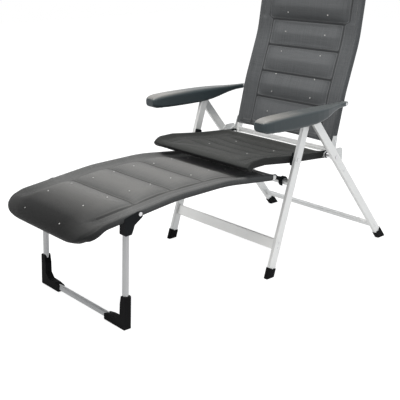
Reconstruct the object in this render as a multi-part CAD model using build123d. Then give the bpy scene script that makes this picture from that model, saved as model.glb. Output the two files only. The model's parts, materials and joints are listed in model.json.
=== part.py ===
from build123d import *
import math
import os

# Folding lounge chair, millimetres, +Z up, the sitter faces -Y, +X is the left hand of the sitter

# Clearances
pin_clearance = 0.05
hole_overrun = 5
side_clearance = 0.3

# Legs: rectangular tube, feet on the floor, both tops meet at the armrest pin
leg_width = 15
leg_depth = 32
leg_wall = 1.6
leg_corner = 3.4
leg_lift = 13
leg_top_length = 8
front_leg_x = 268
rear_leg_x = 293.5
apex_y = 178
apex_z = 556
front_foot_y = -4
rear_foot_y = 628
plug_thickness = 2.5

# Foot caps
cap_wall = 2.6
cap_height = 34
cap_round = 1.2
cap_notch_depth = 7

# Crossbars between the legs
front_bar_z = 114
front_bar_height = 39
front_bar_depth = 14
rear_bar_z = 63
rear_bar_height = 24
rear_bar_depth = 14
bar_wall = 1.6
bar_corner = 3
rest_bar_z = 328
rest_bar_radius = 11
rest_bar_wall = 1.8

# Rivets at the crossbars
rivet_radius = 4
rivet_height = 1.6
rivet_spread = 9

# Seat hinge on the rear legs
hinge_y = 312
hinge_z = 392
hinge_bolt_radius = 5
bolt_head_radius = 8
bolt_head_height = 2
bracket_thickness = 5
hinge_bracket_corners = [
    # from the hinge, side view
    (-12, 8), (1, 26), (44, 26), (51, 19), (51, -24), (60, -48),
    (80, -66), (77, -77), (62, -77), (14, -17), (-12, -10),
]
hinge_bracket_round = 4
bracket_rivet_drop = 60
spacer_radius = 9
bush_wall = 2
bush_flange_radius = 11
bush_flange_thickness = 1.6

# Seat pivot on the front legs
seat_pivot_y = 128
seat_pivot_z = 408
fitting_width = 26
fitting_height = 46
fitting_corner = 6

# Seat frame
rail_width = 15
rail_wall = 1.5
rail_corner = 5
seat_rail_depth = 24
seat_rail_outer_x = 250.5
seat_rail_points = [(325, 391), (128, 407), (-12, 425), (-78, 424), (-92, 410)]
seat_rail_bend = 26
seat_cap_length = 44
seat_cap_wall = 1.4
seat_front_bar_radius = 9
seat_front_bar_inset = 5
seat_rear_bar_y = 286
seat_rear_bar_radius = 9
bar_tube_wall = 1.5

# Back frame
back_rail_depth = 25
back_rail_outer_x = 251
back_rail_points = [(346, 388), (404, 610), (472, 800), (497, 950), (513, 1150)]
back_rail_bend = 420
back_bar_height = 20
back_bar_depth = 15
back_bar_groove = 3
back_bar_groove_depth = 2
back_bar_groove_share = 0.2
back_bar_corner = 2
back_bar_inner_corner = 1
back_bar_inset = 3
back_top_bar_radius = 9
hinge_plate_thickness = 3
hinge_plate_end_radius = 13
hinge_plate_round = 3
hinge_plate_neck_share = 0.7
hinge_plate_middle_reach = 20
hinge_plate_middle_corners = [(10, -18), (-14, 12)]
hinge_plate_top_reach = 60
hinge_plate_top_corners = [(11, 8), (-11, 10)]
plate_rivet_reaches = [18, 50]

# Armrest
arm_pivot_y = 391
arm_pivot_z = 574
arm_pin_radius = 4
arm_pin_head_radius = 6.5
arm_pin_head_height = 2.2
arm_head_seat_x = 272
arm_recess_clearance = 0.4
arm_washer_gap = 1.6
arm_washer_lip = 2
arm_inner_x = 256.5
arm_wall = 3
arm_ceiling_z = 580
arm_stations = [
    # y, inner x, outer x, bottom z, top z, corner radius
    (-90, 266, 305, 551, 577, 10),
    (-80, 259.5, 314, 545, 583, 12),
    (-50, 256.5, 320, 538, 588, 13),
    (20, 256.5, 321, 534, 590, 14),
    (100, 256.5, 320, 533, 590, 14),
    (180, 256.5, 317, 535, 589, 13),
    (245, 256.5, 309, 545, 587, 11),
    (300, 256.5, 294, 558, 585, 9),
    (350, 256.5, 281, 565, 584, 7),
    (391, 256.5, 276, 565.5, 583.5, 6),
    (402, 258, 273, 568, 582, 5),
]
arm_hollow_height = 70
arm_hollow_stations = [
    # y, inner x, outer x
    (-68, 268, 306), (-60, 262, 313), (-40, 259.5, 317), (100, 259.5, 317),
    (185, 259.5, 314), (242, 259.5, 305), (278, 259.5, 293), (290, 262, 284),
]
rack_thickness = 4.2
rack_length = 190
rack_notch_count = 7
rack_notch_radius = 5
rack_tooth_clearance = 1.2
apex_pin_radius = 4

# Recline geometry that places the rack notches
recline_range = 45
arm_follow_ratio = 0.59

# Leg rest frame
rest_rail_x = 228
rest_rail_radius = 10
rest_rail_wall = 1.5
rest_rail_points = [(56, 352), (-180, 380), (-400, 378), (-672, 348.3), (-690, 339.7)]
rest_rail_bends = [700, 700, 60]
rest_front_y = -730
rest_front_z = 320.5
rest_corner_radius = 42
hook_thickness = 12
hook_outer_radius = 18
hook_opening_share = 0.8
hook_plug_length = 16
hook_arm_width = 13
hook_collar_length = 6
hook_arm_low_corner = (-12, 2)
hook_arm_high_corner = (-4, 16)
hook_round = 2

# Support leg of the leg rest
support_bolt_y = -547
support_bolt_radius = 4
support_bolt_head_radius = 6.5
support_foot_y = -606
support_foot_z = 13
support_top_y = -592
support_top_z = 338
support_tube_radius = 10
support_tube_wall = 1.5
support_bend_radius = 34
support_bracket_width = 27
support_bracket_corners = [
    # from the top end of the support tube, side view
    (-15, -34), (12, -34), (24, -6), (54, 13), (54, 31), (37, 33), (-13, 21), (-13.5, -10),
]
support_bracket_round = 5
relief_reach = 40
relief_start = 12
corner_foot_radius = 13
corner_foot_length = 62
corner_boot_half_width = 12
corner_end_share = 0.6
corner_arm_share = 0.7
corner_gusset_share = 0.33
corner_gusset_rise_share = 1.1
corner_round = 4

# Fabric covers
pad_edge_half = 3
pad_seam_half = 5
pad_fall_width = 18
pad_edge_rise = 0.6
pad_shoulder_share = 0.85
pad_shoulder_sag_share = 0.75
pad_edge_sag_share = 0.6

seat_pad_points = [(276.8, 394.9), (222, 399.4), (160, 404.4), (88, 412), (12, 422), (-58, 424.3), (-78.6, 421.5)]
seat_channel_half_width = 186
seat_crown = 4
seat_sag = 6
back_pad_points = [(480.5, 852), (454.8, 752), (417.6, 648), (387.8, 548), (355.5, 424)]
back_channel_half_width = 180
back_crown = 9
head_pad_points = [(511.5, 1131), (497, 960), (480.5, 852)]
head_channel_half_width = 206
head_crown = 17
rest_pad_points = [(40, 354), (-96, 370), (-235, 379), (-372, 377.5), (-520, 365), (-672, 348.5), (-686, 341.8)]
rest_channel_half_width = 176
rest_crown = 8
rest_lip_points = [(-686, 341.8), (-720.9, 324.9)]
rest_lip_half_width = 182
rest_lip_crown = 2


def rounded(width, height, corner):
    return RectangleRounded(width, height, corner)


def hollow(width, height, corner, wall):
    return rounded(width, height, corner) - Rectangle(width - 2 * wall, height - 2 * wall)


def ring(radius, wall):
    return Circle(radius) - Circle(radius - wall)


def across(x, start, end):
    """Plane at a side-view point, normal to the line from start to end."""
    return Plane(origin=(x, start[0], start[1]), x_dir=(1, 0, 0), z_dir=(0, end[0] - start[0], end[1] - start[1]))


def distance(start, end):
    return math.hypot(end[0] - start[0], end[1] - start[1])


def along(start, end, length):
    share = length / distance(start, end)
    return (start[0] + (end[0] - start[0]) * share, start[1] + (end[1] - start[1]) * share)


def straight(x, start, end, section):
    return extrude(across(x, start, end) * section, amount=distance(start, end))


def tube_run(points, bends, section):
    """One tube through the points, straight runs joined by true round bends."""
    corners = [Vector(*point) for point in points]
    if not isinstance(bends, list):
        bends = [bends] * (len(points) - 2)
    turn_axis = (corners[1] - corners[0]).cross(corners[2] - corners[1]).normalized()
    side = turn_axis if abs(turn_axis.X) < 0.5 else Vector(1, 0, 0)
    pieces = []
    start = corners[0]
    for before, corner, after, bend in zip(corners, corners[1:], corners[2:], bends):
        arriving = (corner - before).normalized()
        leaving = (after - corner).normalized()
        angle = arriving.get_angle(leaving)
        setback = bend * math.tan(math.radians(angle / 2))
        bend_start = corner - arriving * setback
        run_plane = Plane(origin=start, x_dir=side, z_dir=arriving)
        pieces.append(extrude(run_plane * section, amount=(bend_start - start).length))
        inwards = (leaving - arriving * leaving.dot(arriving)).normalized()
        bend_plane = Plane(origin=bend_start, x_dir=side, z_dir=arriving)
        centre_axis = Axis(bend_start + inwards * bend, arriving.cross(inwards))
        pieces.append(revolve(bend_plane * section, centre_axis, angle))
        start = corner + leaving * setback
    last_plane = Plane(origin=start, x_dir=side, z_dir=leaving)
    pieces.append(extrude(last_plane * section, amount=(corners[-1] - start).length))
    return pieces[0].fuse(*pieces[1:])


def bent(x, points, bend, section):
    return tube_run([(x, point[0], point[1]) for point in points], bend, section)


def u_shape(half_x, top, low, bend, section):
    """Tube down from one end, across under both and up again."""
    points = [(half_x, *top), (half_x, *low), (-half_x, *low), (-half_x, *top)]
    return tube_run(points, bend, section)


def cross_cylinder(x_start, x_end, y, z, radius):
    """Solid round bar along X from one x to the other."""
    plane = Plane(origin=(x_start, y, z), x_dir=(0, 1, 0), z_dir=(1, 0, 0))
    return extrude(plane * Circle(radius), amount=x_end - x_start)


def cross_bar(half_length, y, z, section, tilt=0):
    """Bar along X, symmetric about the middle plane, tilted in the side view."""
    plane = Plane(origin=(-half_length, y, z), x_dir=(0, math.cos(tilt), math.sin(tilt)), z_dir=(1, 0, 0))
    return extrude(plane * section, amount=2 * half_length)


def side_plate(x_start, thickness, outline):
    """Plate in the side view, from x_start outwards."""
    return extrude(Plane.YZ.offset(x_start) * outline, amount=thickness)


def both(solid):
    return Compound(children=list(solid.solids()) + list(mirror(solid, about=Plane.YZ).solids()))


def leg_point(foot_y, height):
    share = height / apex_z
    return (foot_y + (apex_y - foot_y) * share, height)


def leg_tilt(foot_y):
    return math.atan2(foot_y - apex_y, apex_z)


# Legs

def make_leg(x, foot_y):
    start = leg_point(foot_y, leg_lift)
    top = leg_point(foot_y, apex_z)
    end = along(start, top, distance(start, top) + leg_top_length)
    return straight(x, start, end, hollow(leg_width, leg_depth, leg_corner, leg_wall))


def make_leg_plug(x, foot_y):
    top = leg_point(foot_y, apex_z)
    start = along(top, leg_point(foot_y, 0), -leg_top_length)
    end = along(top, leg_point(foot_y, 0), -leg_top_length - plug_thickness)
    return straight(x, start, end, rounded(leg_width, leg_depth, leg_corner))


def make_foot_cap(x, foot_y):
    low = leg_point(foot_y, -leg_depth)
    high = leg_point(foot_y, cap_height)
    block = straight(x, low, high, rounded(leg_width + 2 * cap_wall, leg_depth + 2 * cap_wall, leg_corner + cap_wall))
    start = leg_point(foot_y, leg_lift)
    pocket = straight(x, start, leg_point(foot_y, apex_z), rounded(leg_width, leg_depth, leg_corner))
    size = 4 * leg_depth
    floor_box = Pos(x, foot_y, -size / 2) * Box(size, 3 * size, size)
    sole = block - floor_box
    sole = chamfer(sole.faces().sort_by(Axis.Z)[0].edges(), cap_round)
    notch_y, notch_z = leg_point(foot_y, cap_height)
    notch = cross_cylinder(x - leg_depth, x + leg_depth, notch_y, notch_z + cap_notch_depth / 2, cap_notch_depth)
    return sole - pocket - notch


def bolt_hole(x_start, x_end, y, z, radius):
    return cross_cylinder(x_start, x_end, y, z, radius)


front_leg_inner_x = front_leg_x - leg_width / 2
front_leg_outer_x = front_leg_x + leg_width / 2
rear_leg_inner_x = rear_leg_x - leg_width / 2
rear_leg_outer_x = rear_leg_x + leg_width / 2
seat_rail_inner_x = seat_rail_outer_x - rail_width
back_rail_inner_x = back_rail_outer_x - rail_width
plate_outer_x = back_rail_outer_x + hinge_plate_thickness
bracket_inner_x = rear_leg_inner_x - bracket_thickness

rear_leg = make_leg(rear_leg_x, rear_foot_y)
rear_leg -= bolt_hole(rear_leg_inner_x - leg_width, rear_leg_outer_x + leg_width, hinge_y, hinge_z, hinge_bolt_radius)
rear_leg -= bolt_hole(rear_leg_inner_x - leg_width, rear_leg_x, apex_y, apex_z, apex_pin_radius)
front_leg = make_leg(front_leg_x, front_foot_y)
front_leg -= bolt_hole(front_leg_x - leg_width, front_leg_x + leg_width, seat_pivot_y, seat_pivot_z, hinge_bolt_radius)
front_leg -= bolt_hole(front_leg_x, front_leg_outer_x + leg_width, apex_y, apex_z, apex_pin_radius)
rear_cap = make_foot_cap(rear_leg_x, rear_foot_y)
front_cap = make_foot_cap(front_leg_x, front_foot_y)
plugs_rear = make_leg_plug(rear_leg_x, rear_foot_y)
plugs_front = make_leg_plug(front_leg_x, front_foot_y)

# Pins at the leg tops, the two halves meet between the legs
apex_split_x = (front_leg_outer_x + rear_leg_inner_x) / 2
rear_apex_pin = cross_cylinder(apex_split_x + side_clearance, rear_leg_x - leg_wall, apex_y, apex_z, apex_pin_radius)
front_apex_pin = cross_cylinder(front_leg_x + leg_wall, apex_split_x - side_clearance, apex_y, apex_z, apex_pin_radius)

# Crossbars
front_bar_y = leg_point(front_foot_y, front_bar_z)[0]
rear_bar_y = leg_point(rear_foot_y, rear_bar_z)[0]
rest_bar_y = leg_point(front_foot_y, rest_bar_z)[0]
front_bar_section = hollow(front_bar_depth, front_bar_height, bar_corner, bar_wall)
rear_bar_section = hollow(rear_bar_depth, rear_bar_height, bar_corner, bar_wall)
front_crossbar = cross_bar(front_leg_inner_x, front_bar_y, front_bar_z, front_bar_section, leg_tilt(front_foot_y))
rear_crossbar = cross_bar(rear_leg_inner_x, rear_bar_y, rear_bar_z, rear_bar_section, leg_tilt(rear_foot_y))
leg_rest_bar = cross_bar(front_leg_inner_x, rest_bar_y, rest_bar_z, ring(rest_bar_radius, rest_bar_wall))


def make_rivet(x, y, z):
    plane = Plane(origin=(x, y, z), x_dir=(0, 1, 0), z_dir=(1, 0, 0))
    head = extrude(plane * Circle(rivet_radius), amount=rivet_height)
    return fillet(head.edges().sort_by(Axis.X)[-1], rivet_height * 0.8)


def rivet_pair(x, foot_y, height, spread):
    low = leg_point(foot_y, height - spread)
    high = leg_point(foot_y, height + spread)
    return [make_rivet(x, low[0], low[1]), make_rivet(x, high[0], high[1])]


front_rivets = rivet_pair(front_leg_outer_x, front_foot_y, front_bar_z, rivet_spread)
rear_rivets = rivet_pair(rear_leg_outer_x, rear_foot_y, rear_bar_z, rivet_spread / 2)

# Hinge bracket beside the rear leg, with a wing behind it


def make_hinge_bracket():
    edge = [(hinge_y + y, hinge_z + z) for y, z in hinge_bracket_corners]
    outline = make_face(FilletPolyline(*edge, radius=hinge_bracket_round, close=True))
    plate = side_plate(bracket_inner_x, bracket_thickness, outline)
    return plate - bolt_hole(bracket_inner_x - leg_width, rear_leg_x, hinge_y, hinge_z, hinge_bolt_radius)


hinge_bracket = make_hinge_bracket()
bracket_rivet_y = leg_point(rear_foot_y, hinge_z - bracket_rivet_drop)[0]
bracket_rivet = make_rivet(rear_leg_outer_x, bracket_rivet_y, hinge_z - bracket_rivet_drop)

# Seat hinge bolt with its spacer, fixed to the rear leg
bolt_inner_x = seat_rail_inner_x - side_clearance
hinge_bolt = cross_cylinder(bolt_inner_x, rear_leg_outer_x, hinge_y, hinge_z, hinge_bolt_radius)
hinge_bolt += cross_cylinder(bolt_inner_x - bolt_head_height, bolt_inner_x, hinge_y, hinge_z, bolt_head_radius)
hinge_bolt += cross_cylinder(rear_leg_outer_x, rear_leg_outer_x + bolt_head_height, hinge_y, hinge_z, bolt_head_radius)
bush_inner_x = seat_rail_outer_x + side_clearance / 2
bush_outer_x = plate_outer_x + side_clearance + bush_flange_thickness
spacer_inner_x = bush_outer_x + side_clearance
hinge_spacer = cross_cylinder(spacer_inner_x, bracket_inner_x, hinge_y, hinge_z, spacer_radius)
hinge_spacer -= bolt_hole(spacer_inner_x - hole_overrun, bracket_inner_x + hole_overrun, hinge_y, hinge_z, hinge_bolt_radius)

# Bush that carries the back on the hinge bolt
bush_radius = hinge_bolt_radius + pin_clearance + bush_wall
back_bush = cross_cylinder(bush_inner_x, bush_outer_x, hinge_y, hinge_z, bush_radius)
back_bush += cross_cylinder(plate_outer_x + side_clearance, bush_outer_x, hinge_y, hinge_z, bush_flange_radius)
back_bush -= bolt_hole(
    bush_inner_x - hole_overrun, bush_outer_x + hole_overrun, hinge_y, hinge_z, hinge_bolt_radius + pin_clearance)

# Seat frame
seat_rail_x = seat_rail_outer_x - rail_width / 2
seat_section = hollow(rail_width, seat_rail_depth, rail_corner, rail_wall)
seat_rail = bent(seat_rail_x, seat_rail_points, seat_rail_bend, seat_section)
seat_hole_radius = hinge_bolt_radius + pin_clearance
seat_rail -= bolt_hole(seat_rail_inner_x - hole_overrun, seat_rail_outer_x + hole_overrun, hinge_y, hinge_z, seat_hole_radius)
seat_rail -= bolt_hole(seat_rail_inner_x - hole_overrun, seat_rail_outer_x + hole_overrun, seat_pivot_y, seat_pivot_z, seat_hole_radius)
seat_front_y, seat_front_z = seat_rail_points[-1]
seat_front_bar = cross_bar(
    seat_rail_inner_x, seat_front_y + seat_front_bar_inset, seat_front_z + seat_front_bar_inset, ring(seat_front_bar_radius, bar_tube_wall))
rear_share = (seat_rail_points[0][0] - seat_rear_bar_y) / (seat_rail_points[0][0] - seat_rail_points[1][0])
seat_rear_bar_z = seat_rail_points[0][1] + (seat_rail_points[1][1] - seat_rail_points[0][1]) * rear_share
seat_rear_bar_z -= seat_rail_depth / 2 - seat_rear_bar_radius
seat_rear_bar = cross_bar(
    seat_rail_inner_x, seat_rear_bar_y, seat_rear_bar_z, ring(seat_rear_bar_radius, bar_tube_wall))


def make_seat_end_cap():
    start = seat_rail_points[0]
    inner_end = along(start, seat_rail_points[1], seat_cap_length)
    outer = along(start, seat_rail_points[1], -plug_thickness)
    section = rounded(rail_width, seat_rail_depth, rail_corner)
    end_plate = straight(seat_rail_x, outer, start, section)
    wrap = rounded(rail_width, seat_rail_depth + 2 * seat_cap_wall, rail_corner)
    band = straight(seat_rail_x, outer, inner_end, wrap - section)
    cap = end_plate + band
    return cap - bolt_hole(seat_rail_inner_x - hole_overrun, seat_rail_outer_x + hole_overrun, hinge_y, hinge_z, seat_hole_radius)


seat_end_cap = make_seat_end_cap()

# Fitting between the seat rail and the front leg, and its bolt
fitting_thickness = front_leg_inner_x - seat_rail_outer_x - side_clearance


def make_seat_fitting():
    tilt = math.degrees(leg_tilt(front_foot_y))
    outline = Pos(seat_pivot_y, seat_pivot_z) * (Rot(0, 0, tilt) * rounded(fitting_width, fitting_height, fitting_corner))
    plate = side_plate(seat_rail_outer_x, fitting_thickness, outline)
    return plate - bolt_hole(seat_rail_outer_x - hole_overrun, front_leg_inner_x + hole_overrun, seat_pivot_y, seat_pivot_z, seat_hole_radius)


seat_fitting = make_seat_fitting()
pivot_inner_end = seat_rail_inner_x + side_clearance
seat_pivot_bolt = cross_cylinder(pivot_inner_end, front_leg_outer_x, seat_pivot_y, seat_pivot_z, hinge_bolt_radius)
seat_pivot_bolt += cross_cylinder(
    front_leg_outer_x, front_leg_outer_x + bolt_head_height, seat_pivot_y, seat_pivot_z, bolt_head_radius)

# Back frame
back_rail_x = back_rail_outer_x - rail_width / 2
back_section = hollow(rail_width, back_rail_depth, rail_corner, rail_wall)
back_rail = bent(back_rail_x, back_rail_points, back_rail_bend, back_section)
arm_hole_radius = arm_pin_radius + pin_clearance
back_rail -= bolt_hole(back_rail_inner_x - hole_overrun, back_rail_outer_x + hole_overrun, arm_pivot_y, arm_pivot_z, arm_hole_radius)
back_low = back_rail_points[0]
back_next = back_rail_points[1]
back_tilt = math.atan2(back_low[0] - back_next[0], back_next[1] - back_low[1])
back_bar_point = along(back_low, back_next, back_bar_height / 2 + back_bar_inset)


def make_back_bar():
    section = rounded(back_bar_depth, back_bar_height, back_bar_corner)
    groove = Rectangle(2 * back_bar_groove_depth, back_bar_groove)
    for step in (-1, 1):
        section -= Pos(-back_bar_depth / 2, step * back_bar_height * back_bar_groove_share) * groove
    section -= rounded(back_bar_depth - 4 * rail_wall, back_bar_height - 2 * rail_wall, back_bar_inner_corner)
    return cross_bar(back_rail_inner_x, back_bar_point[0], back_bar_point[1], section, back_tilt)


back_bottom_bar = make_back_bar()
back_top_end = back_rail_points[-1]
back_top_point = along(back_top_end, back_rail_points[-2], back_top_bar_radius)
back_top_bar = cross_bar(
    back_rail_inner_x, back_top_point[0], back_top_point[1], ring(back_top_bar_radius, bar_tube_wall))


def make_hinge_plate():
    top = along(back_low, back_next, hinge_plate_top_reach)
    middle = along(back_low, back_next, hinge_plate_middle_reach)
    neck = hinge_plate_end_radius * hinge_plate_neck_share
    low_corner, high_corner = hinge_plate_middle_corners
    rear_corner, front_corner = hinge_plate_top_corners
    edge = [
        (hinge_y - neck, hinge_z - neck),
        (middle[0] + low_corner[0], middle[1] + low_corner[1]),
        (top[0] + rear_corner[0], top[1] + rear_corner[1]),
        (top[0] + front_corner[0], top[1] + front_corner[1]),
        (middle[0] + high_corner[0], middle[1] + high_corner[1]),
        (hinge_y - neck, hinge_z + neck),
    ]
    outline = make_face(FilletPolyline(*edge, radius=hinge_plate_round, close=True))
    outline += Pos(hinge_y, hinge_z) * Circle(hinge_plate_end_radius)
    plate = side_plate(back_rail_outer_x, hinge_plate_thickness, outline)
    hole_radius = bush_radius + pin_clearance
    return plate - bolt_hole(back_rail_outer_x - hole_overrun, plate_outer_x + hole_overrun, hinge_y, hinge_z, hole_radius)


hinge_plate = make_hinge_plate()
plate_rivets = []
for reach in plate_rivet_reaches:
    rivet_y, rivet_z = along(back_low, back_next, reach)
    plate_rivets.append(make_rivet(plate_outer_x, rivet_y, rivet_z))

# Armrest


def arm_section(y, inner_x, outer_x, bottom_z, top_z, corner):
    plane = Plane(origin=((inner_x + outer_x) / 2, y, (bottom_z + top_z) / 2), x_dir=(1, 0, 0), z_dir=(0, -1, 0))
    return plane * rounded(outer_x - inner_x, top_z - bottom_z, corner)


def smooth_stations(stations):
    """The given stations with one more between each pair, on a smooth curve through them."""
    result = []
    for n in range(len(stations) - 1):
        before = stations[max(n - 1, 0)]
        first = stations[n]
        second = stations[n + 1]
        after = stations[min(n + 2, len(stations) - 1)]
        result.append(first)
        result.append(tuple((9 * (p + q) - (o + r)) / 16 for o, p, q, r in zip(before, first, second, after)))
    result.append(stations[-1])
    return result


def make_armrest():
    stations = smooth_stations(arm_stations)
    outer = loft([arm_section(*station) for station in stations], ruled=True)
    plan = [(outer_x, y) for y, inner_x, outer_x in arm_hollow_stations]
    plan += [(inner_x, y) for y, inner_x, outer_x in reversed(arm_hollow_stations)]
    hollow_plane = Plane.XY.offset(arm_ceiling_z)
    hollow_form = extrude(hollow_plane * make_face(Polyline(*plan, close=True)), amount=-arm_hollow_height)
    shell = outer - hollow_form
    shell -= bolt_hole(arm_inner_x - hole_overrun, rear_leg_outer_x, arm_pivot_y, arm_pivot_z, arm_hole_radius)
    recess = cross_cylinder(arm_head_seat_x, rear_leg_outer_x, arm_pivot_y, arm_pivot_z, arm_pin_head_radius + arm_recess_clearance)
    return shell - recess


armrest = make_armrest()


def apex_in_armrest(angle):
    """Side-view place of the leg-top pin in the armrest at one recline angle, in rest coordinates."""
    back = math.radians(angle)
    arm = math.radians(angle * (1 - arm_follow_ratio))
    dy = arm_pivot_y - hinge_y
    dz = arm_pivot_z - hinge_z
    pivot_y = hinge_y + dy * math.cos(back) + dz * math.sin(back)
    pivot_z = hinge_z + dz * math.cos(back) - dy * math.sin(back)
    ry = apex_y - pivot_y
    rz = apex_z - pivot_z
    return (
        arm_pivot_y + ry * math.cos(arm) - rz * math.sin(arm),
        arm_pivot_z + rz * math.cos(arm) + ry * math.sin(arm),
    )


def make_rack():
    places = [apex_in_armrest(recline_range * n / (rack_notch_count - 1)) for n in range(rack_notch_count)]
    highest = max(place[1] for place in places)
    bottom = highest + apex_pin_radius + rack_tooth_clearance
    middle_y = (places[0][0] + places[-1][0]) / 2
    outline = Pos(middle_y, (bottom + arm_ceiling_z) / 2) * Rectangle(rack_length, arm_ceiling_z - bottom)
    for place in places:
        outline -= Pos(place[0], bottom) * Circle(rack_notch_radius)
    return side_plate(apex_split_x, rack_thickness, outline)


rack = make_rack()

# Pin between the back rail and the armrest
arm_pin_inner_x = back_rail_inner_x + side_clearance
arm_pin = cross_cylinder(arm_pin_inner_x, arm_head_seat_x + side_clearance, arm_pivot_y, arm_pivot_z, arm_pin_radius)
arm_pin += cross_cylinder(
    arm_head_seat_x + side_clearance, arm_head_seat_x + side_clearance + arm_pin_head_height,
    arm_pivot_y, arm_pivot_z, arm_pin_head_radius)
arm_pin += cross_cylinder(
    back_rail_outer_x + arm_washer_gap, arm_inner_x - side_clearance,
    arm_pivot_y, arm_pivot_z, arm_pin_head_radius + arm_washer_lip)

# Leg rest frame
rest_section = ring(rest_rail_radius, rest_rail_wall)
rest_rail = bent(rest_rail_x, rest_rail_points, rest_rail_bends, rest_section)
rest_end = rest_rail_points[-1]
rest_before = rest_rail_points[-2]
rest_front = (rest_front_y, rest_front_z)


rest_front_bar = u_shape(rest_rail_x, rest_end, rest_front, rest_corner_radius, rest_section)

hook_gap_inner_radius = rest_bar_radius + pin_clearance


def make_hook():
    centre = (rest_bar_y, rest_bar_z)
    rail_end = rest_rail_points[0]
    rail_next = rest_rail_points[1]
    reach = along(rail_end, rail_next, -hook_collar_length)
    arm = make_face(FilletPolyline(
        (rail_end[0], rail_end[1] + hook_arm_width / 2), (rail_end[0], rail_end[1] - hook_arm_width / 2),
        (centre[0] + hook_arm_low_corner[0], centre[1] + hook_arm_low_corner[1]),
        (centre[0] + hook_arm_high_corner[0], centre[1] + hook_arm_high_corner[1]),
        radius=hook_round, close=True))
    outline = arm + Pos(*centre) * Circle(hook_outer_radius)
    outline -= Pos(*centre) * Circle(hook_gap_inner_radius)
    mouth = 2 * hook_gap_inner_radius * hook_opening_share
    outline -= Pos(centre[0], centre[1] - hook_outer_radius) * Rectangle(mouth, 2 * hook_outer_radius)
    plate = side_plate(rest_rail_x - hook_thickness / 2, hook_thickness, outline)
    collar = straight(rest_rail_x, rail_end, reach, Circle(rest_rail_radius))
    plug_end = along(rail_end, rail_next, hook_plug_length)
    plug = straight(rest_rail_x, rail_end, plug_end, Circle(rest_rail_radius - rest_rail_wall))
    bar_space = cross_cylinder(
        rest_rail_x - hook_thickness, rest_rail_x + hook_thickness, centre[0], centre[1], hook_gap_inner_radius)
    return plate + collar + plug - bar_space


hook = make_hook()

# Support leg of the leg rest


def rest_rail_height(y):
    for (y1, z1), (y2, z2) in zip(rest_rail_points, rest_rail_points[1:]):
        if y2 <= y <= y1:
            return z1 + (z2 - z1) * (y1 - y) / (y1 - y2)
    return rest_rail_points[-1][1]


support_bolt_z = rest_rail_height(support_bolt_y)
support_top = (support_top_y, support_top_z)
support_low = (support_foot_y, support_foot_z)
support_section = ring(support_tube_radius, support_tube_wall)
support_straight_z = support_bend_radius + support_foot_z


support_tube = u_shape(rest_rail_x, support_top, support_low, support_bend_radius, support_section)


def make_support_bracket():
    edge = [(support_top_y + y, support_top_z + z) for y, z in support_bracket_corners]
    outline = make_face(FilletPolyline(*edge, radius=support_bracket_round, close=True))
    block = side_plate(bracket_low_x, support_bracket_width, outline)
    slope = math.atan2(
        rest_rail_height(support_bolt_y) - rest_rail_height(support_top_y), support_bolt_y - support_top_y)
    slot_half = rest_rail_radius + side_clearance
    slot = Pos(cheek_inner_x, support_bolt_y, support_bolt_z) * (
        Rot(math.degrees(slope), 0, 0) * (Pos(-slot_size / 2, 0, slot_size / 2 - slot_half) * Box(
            slot_size, 3 * slot_size, slot_size)))
    relief = Pos(cheek_inner_x - slot_size / 2, support_bolt_y, support_bolt_z) * Box(
        slot_size, 2 * relief_reach, slot_size)
    relief = Pos(0, relief_reach - relief_start, 0) * relief
    tube_space = straight(rest_rail_x, support_low, support_top, Circle(support_tube_radius))
    bolt_space = bolt_hole(
        rest_rail_x - slot_size, rest_rail_x + slot_size, support_bolt_y, support_bolt_z, support_bolt_radius)
    return block - slot - relief - tube_space - bolt_space


slot_size = 2 * support_bracket_width
cheek_inner_x = rest_rail_x + rest_rail_radius + side_clearance
bracket_low_x = rest_rail_x - support_bracket_width / 2
cheek_outer_x = bracket_low_x + support_bracket_width
support_bracket = make_support_bracket()
bolt_inner_end = rest_rail_x - rest_rail_radius + side_clearance
support_bolt = cross_cylinder(bolt_inner_end, cheek_outer_x, support_bolt_y, support_bolt_z, support_bolt_radius)
support_bolt += cross_cylinder(
    cheek_outer_x, cheek_outer_x + bolt_head_height, support_bolt_y, support_bolt_z, support_bolt_head_radius)
rest_rail -= bolt_hole(
    rest_rail_x - slot_size, rest_rail_x + slot_size, support_bolt_y, support_bolt_z, support_bolt_radius + pin_clearance)


def make_corner_foot():
    plane = Plane(
        origin=(0, support_low[0], support_low[1]),
        x_dir=(1, 0, 0),
        z_dir=(0, support_low[1] - support_top[1], support_top[0] - support_low[0]),
    )
    tube_space = u_shape(rest_rail_x, support_top, support_low, support_bend_radius, Circle(support_tube_radius))
    arm = corner_foot_length + support_bend_radius
    r = corner_foot_radius
    x = rest_rail_x
    end = r * corner_end_share
    thin = arm * corner_arm_share
    gusset = arm * corner_gusset_share
    rise = r * corner_gusset_rise_share
    outline = FilletPolyline(
        (x + r, arm), (x + r, -r), (x - arm, -r), (x - arm, end), (x - thin, r),
        (x - gusset, rise), (x - rise, gusset), (x - r, thin), (x - end, arm),
        radius=corner_round, close=True)
    boot = extrude(plane * make_face(outline), amount=corner_boot_half_width, both=True)
    size = 2 * rest_rail_x
    floor_box = Pos(rest_rail_x, support_low[0], -size / 2) * Box(size, size, size)
    return boot - tube_space - floor_box


corner_foot = make_corner_foot()

# Padded fabric: a chain of cross channels between sewn seams


def seam_normals(points):
    normals = []
    for n, point in enumerate(points):
        before = points[max(n - 1, 0)]
        after = points[min(n + 1, len(points) - 1)]
        run = distance(before, after)
        normals.append(((after[1] - before[1]) / run, -(after[0] - before[0]) / run))
    return normals


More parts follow.
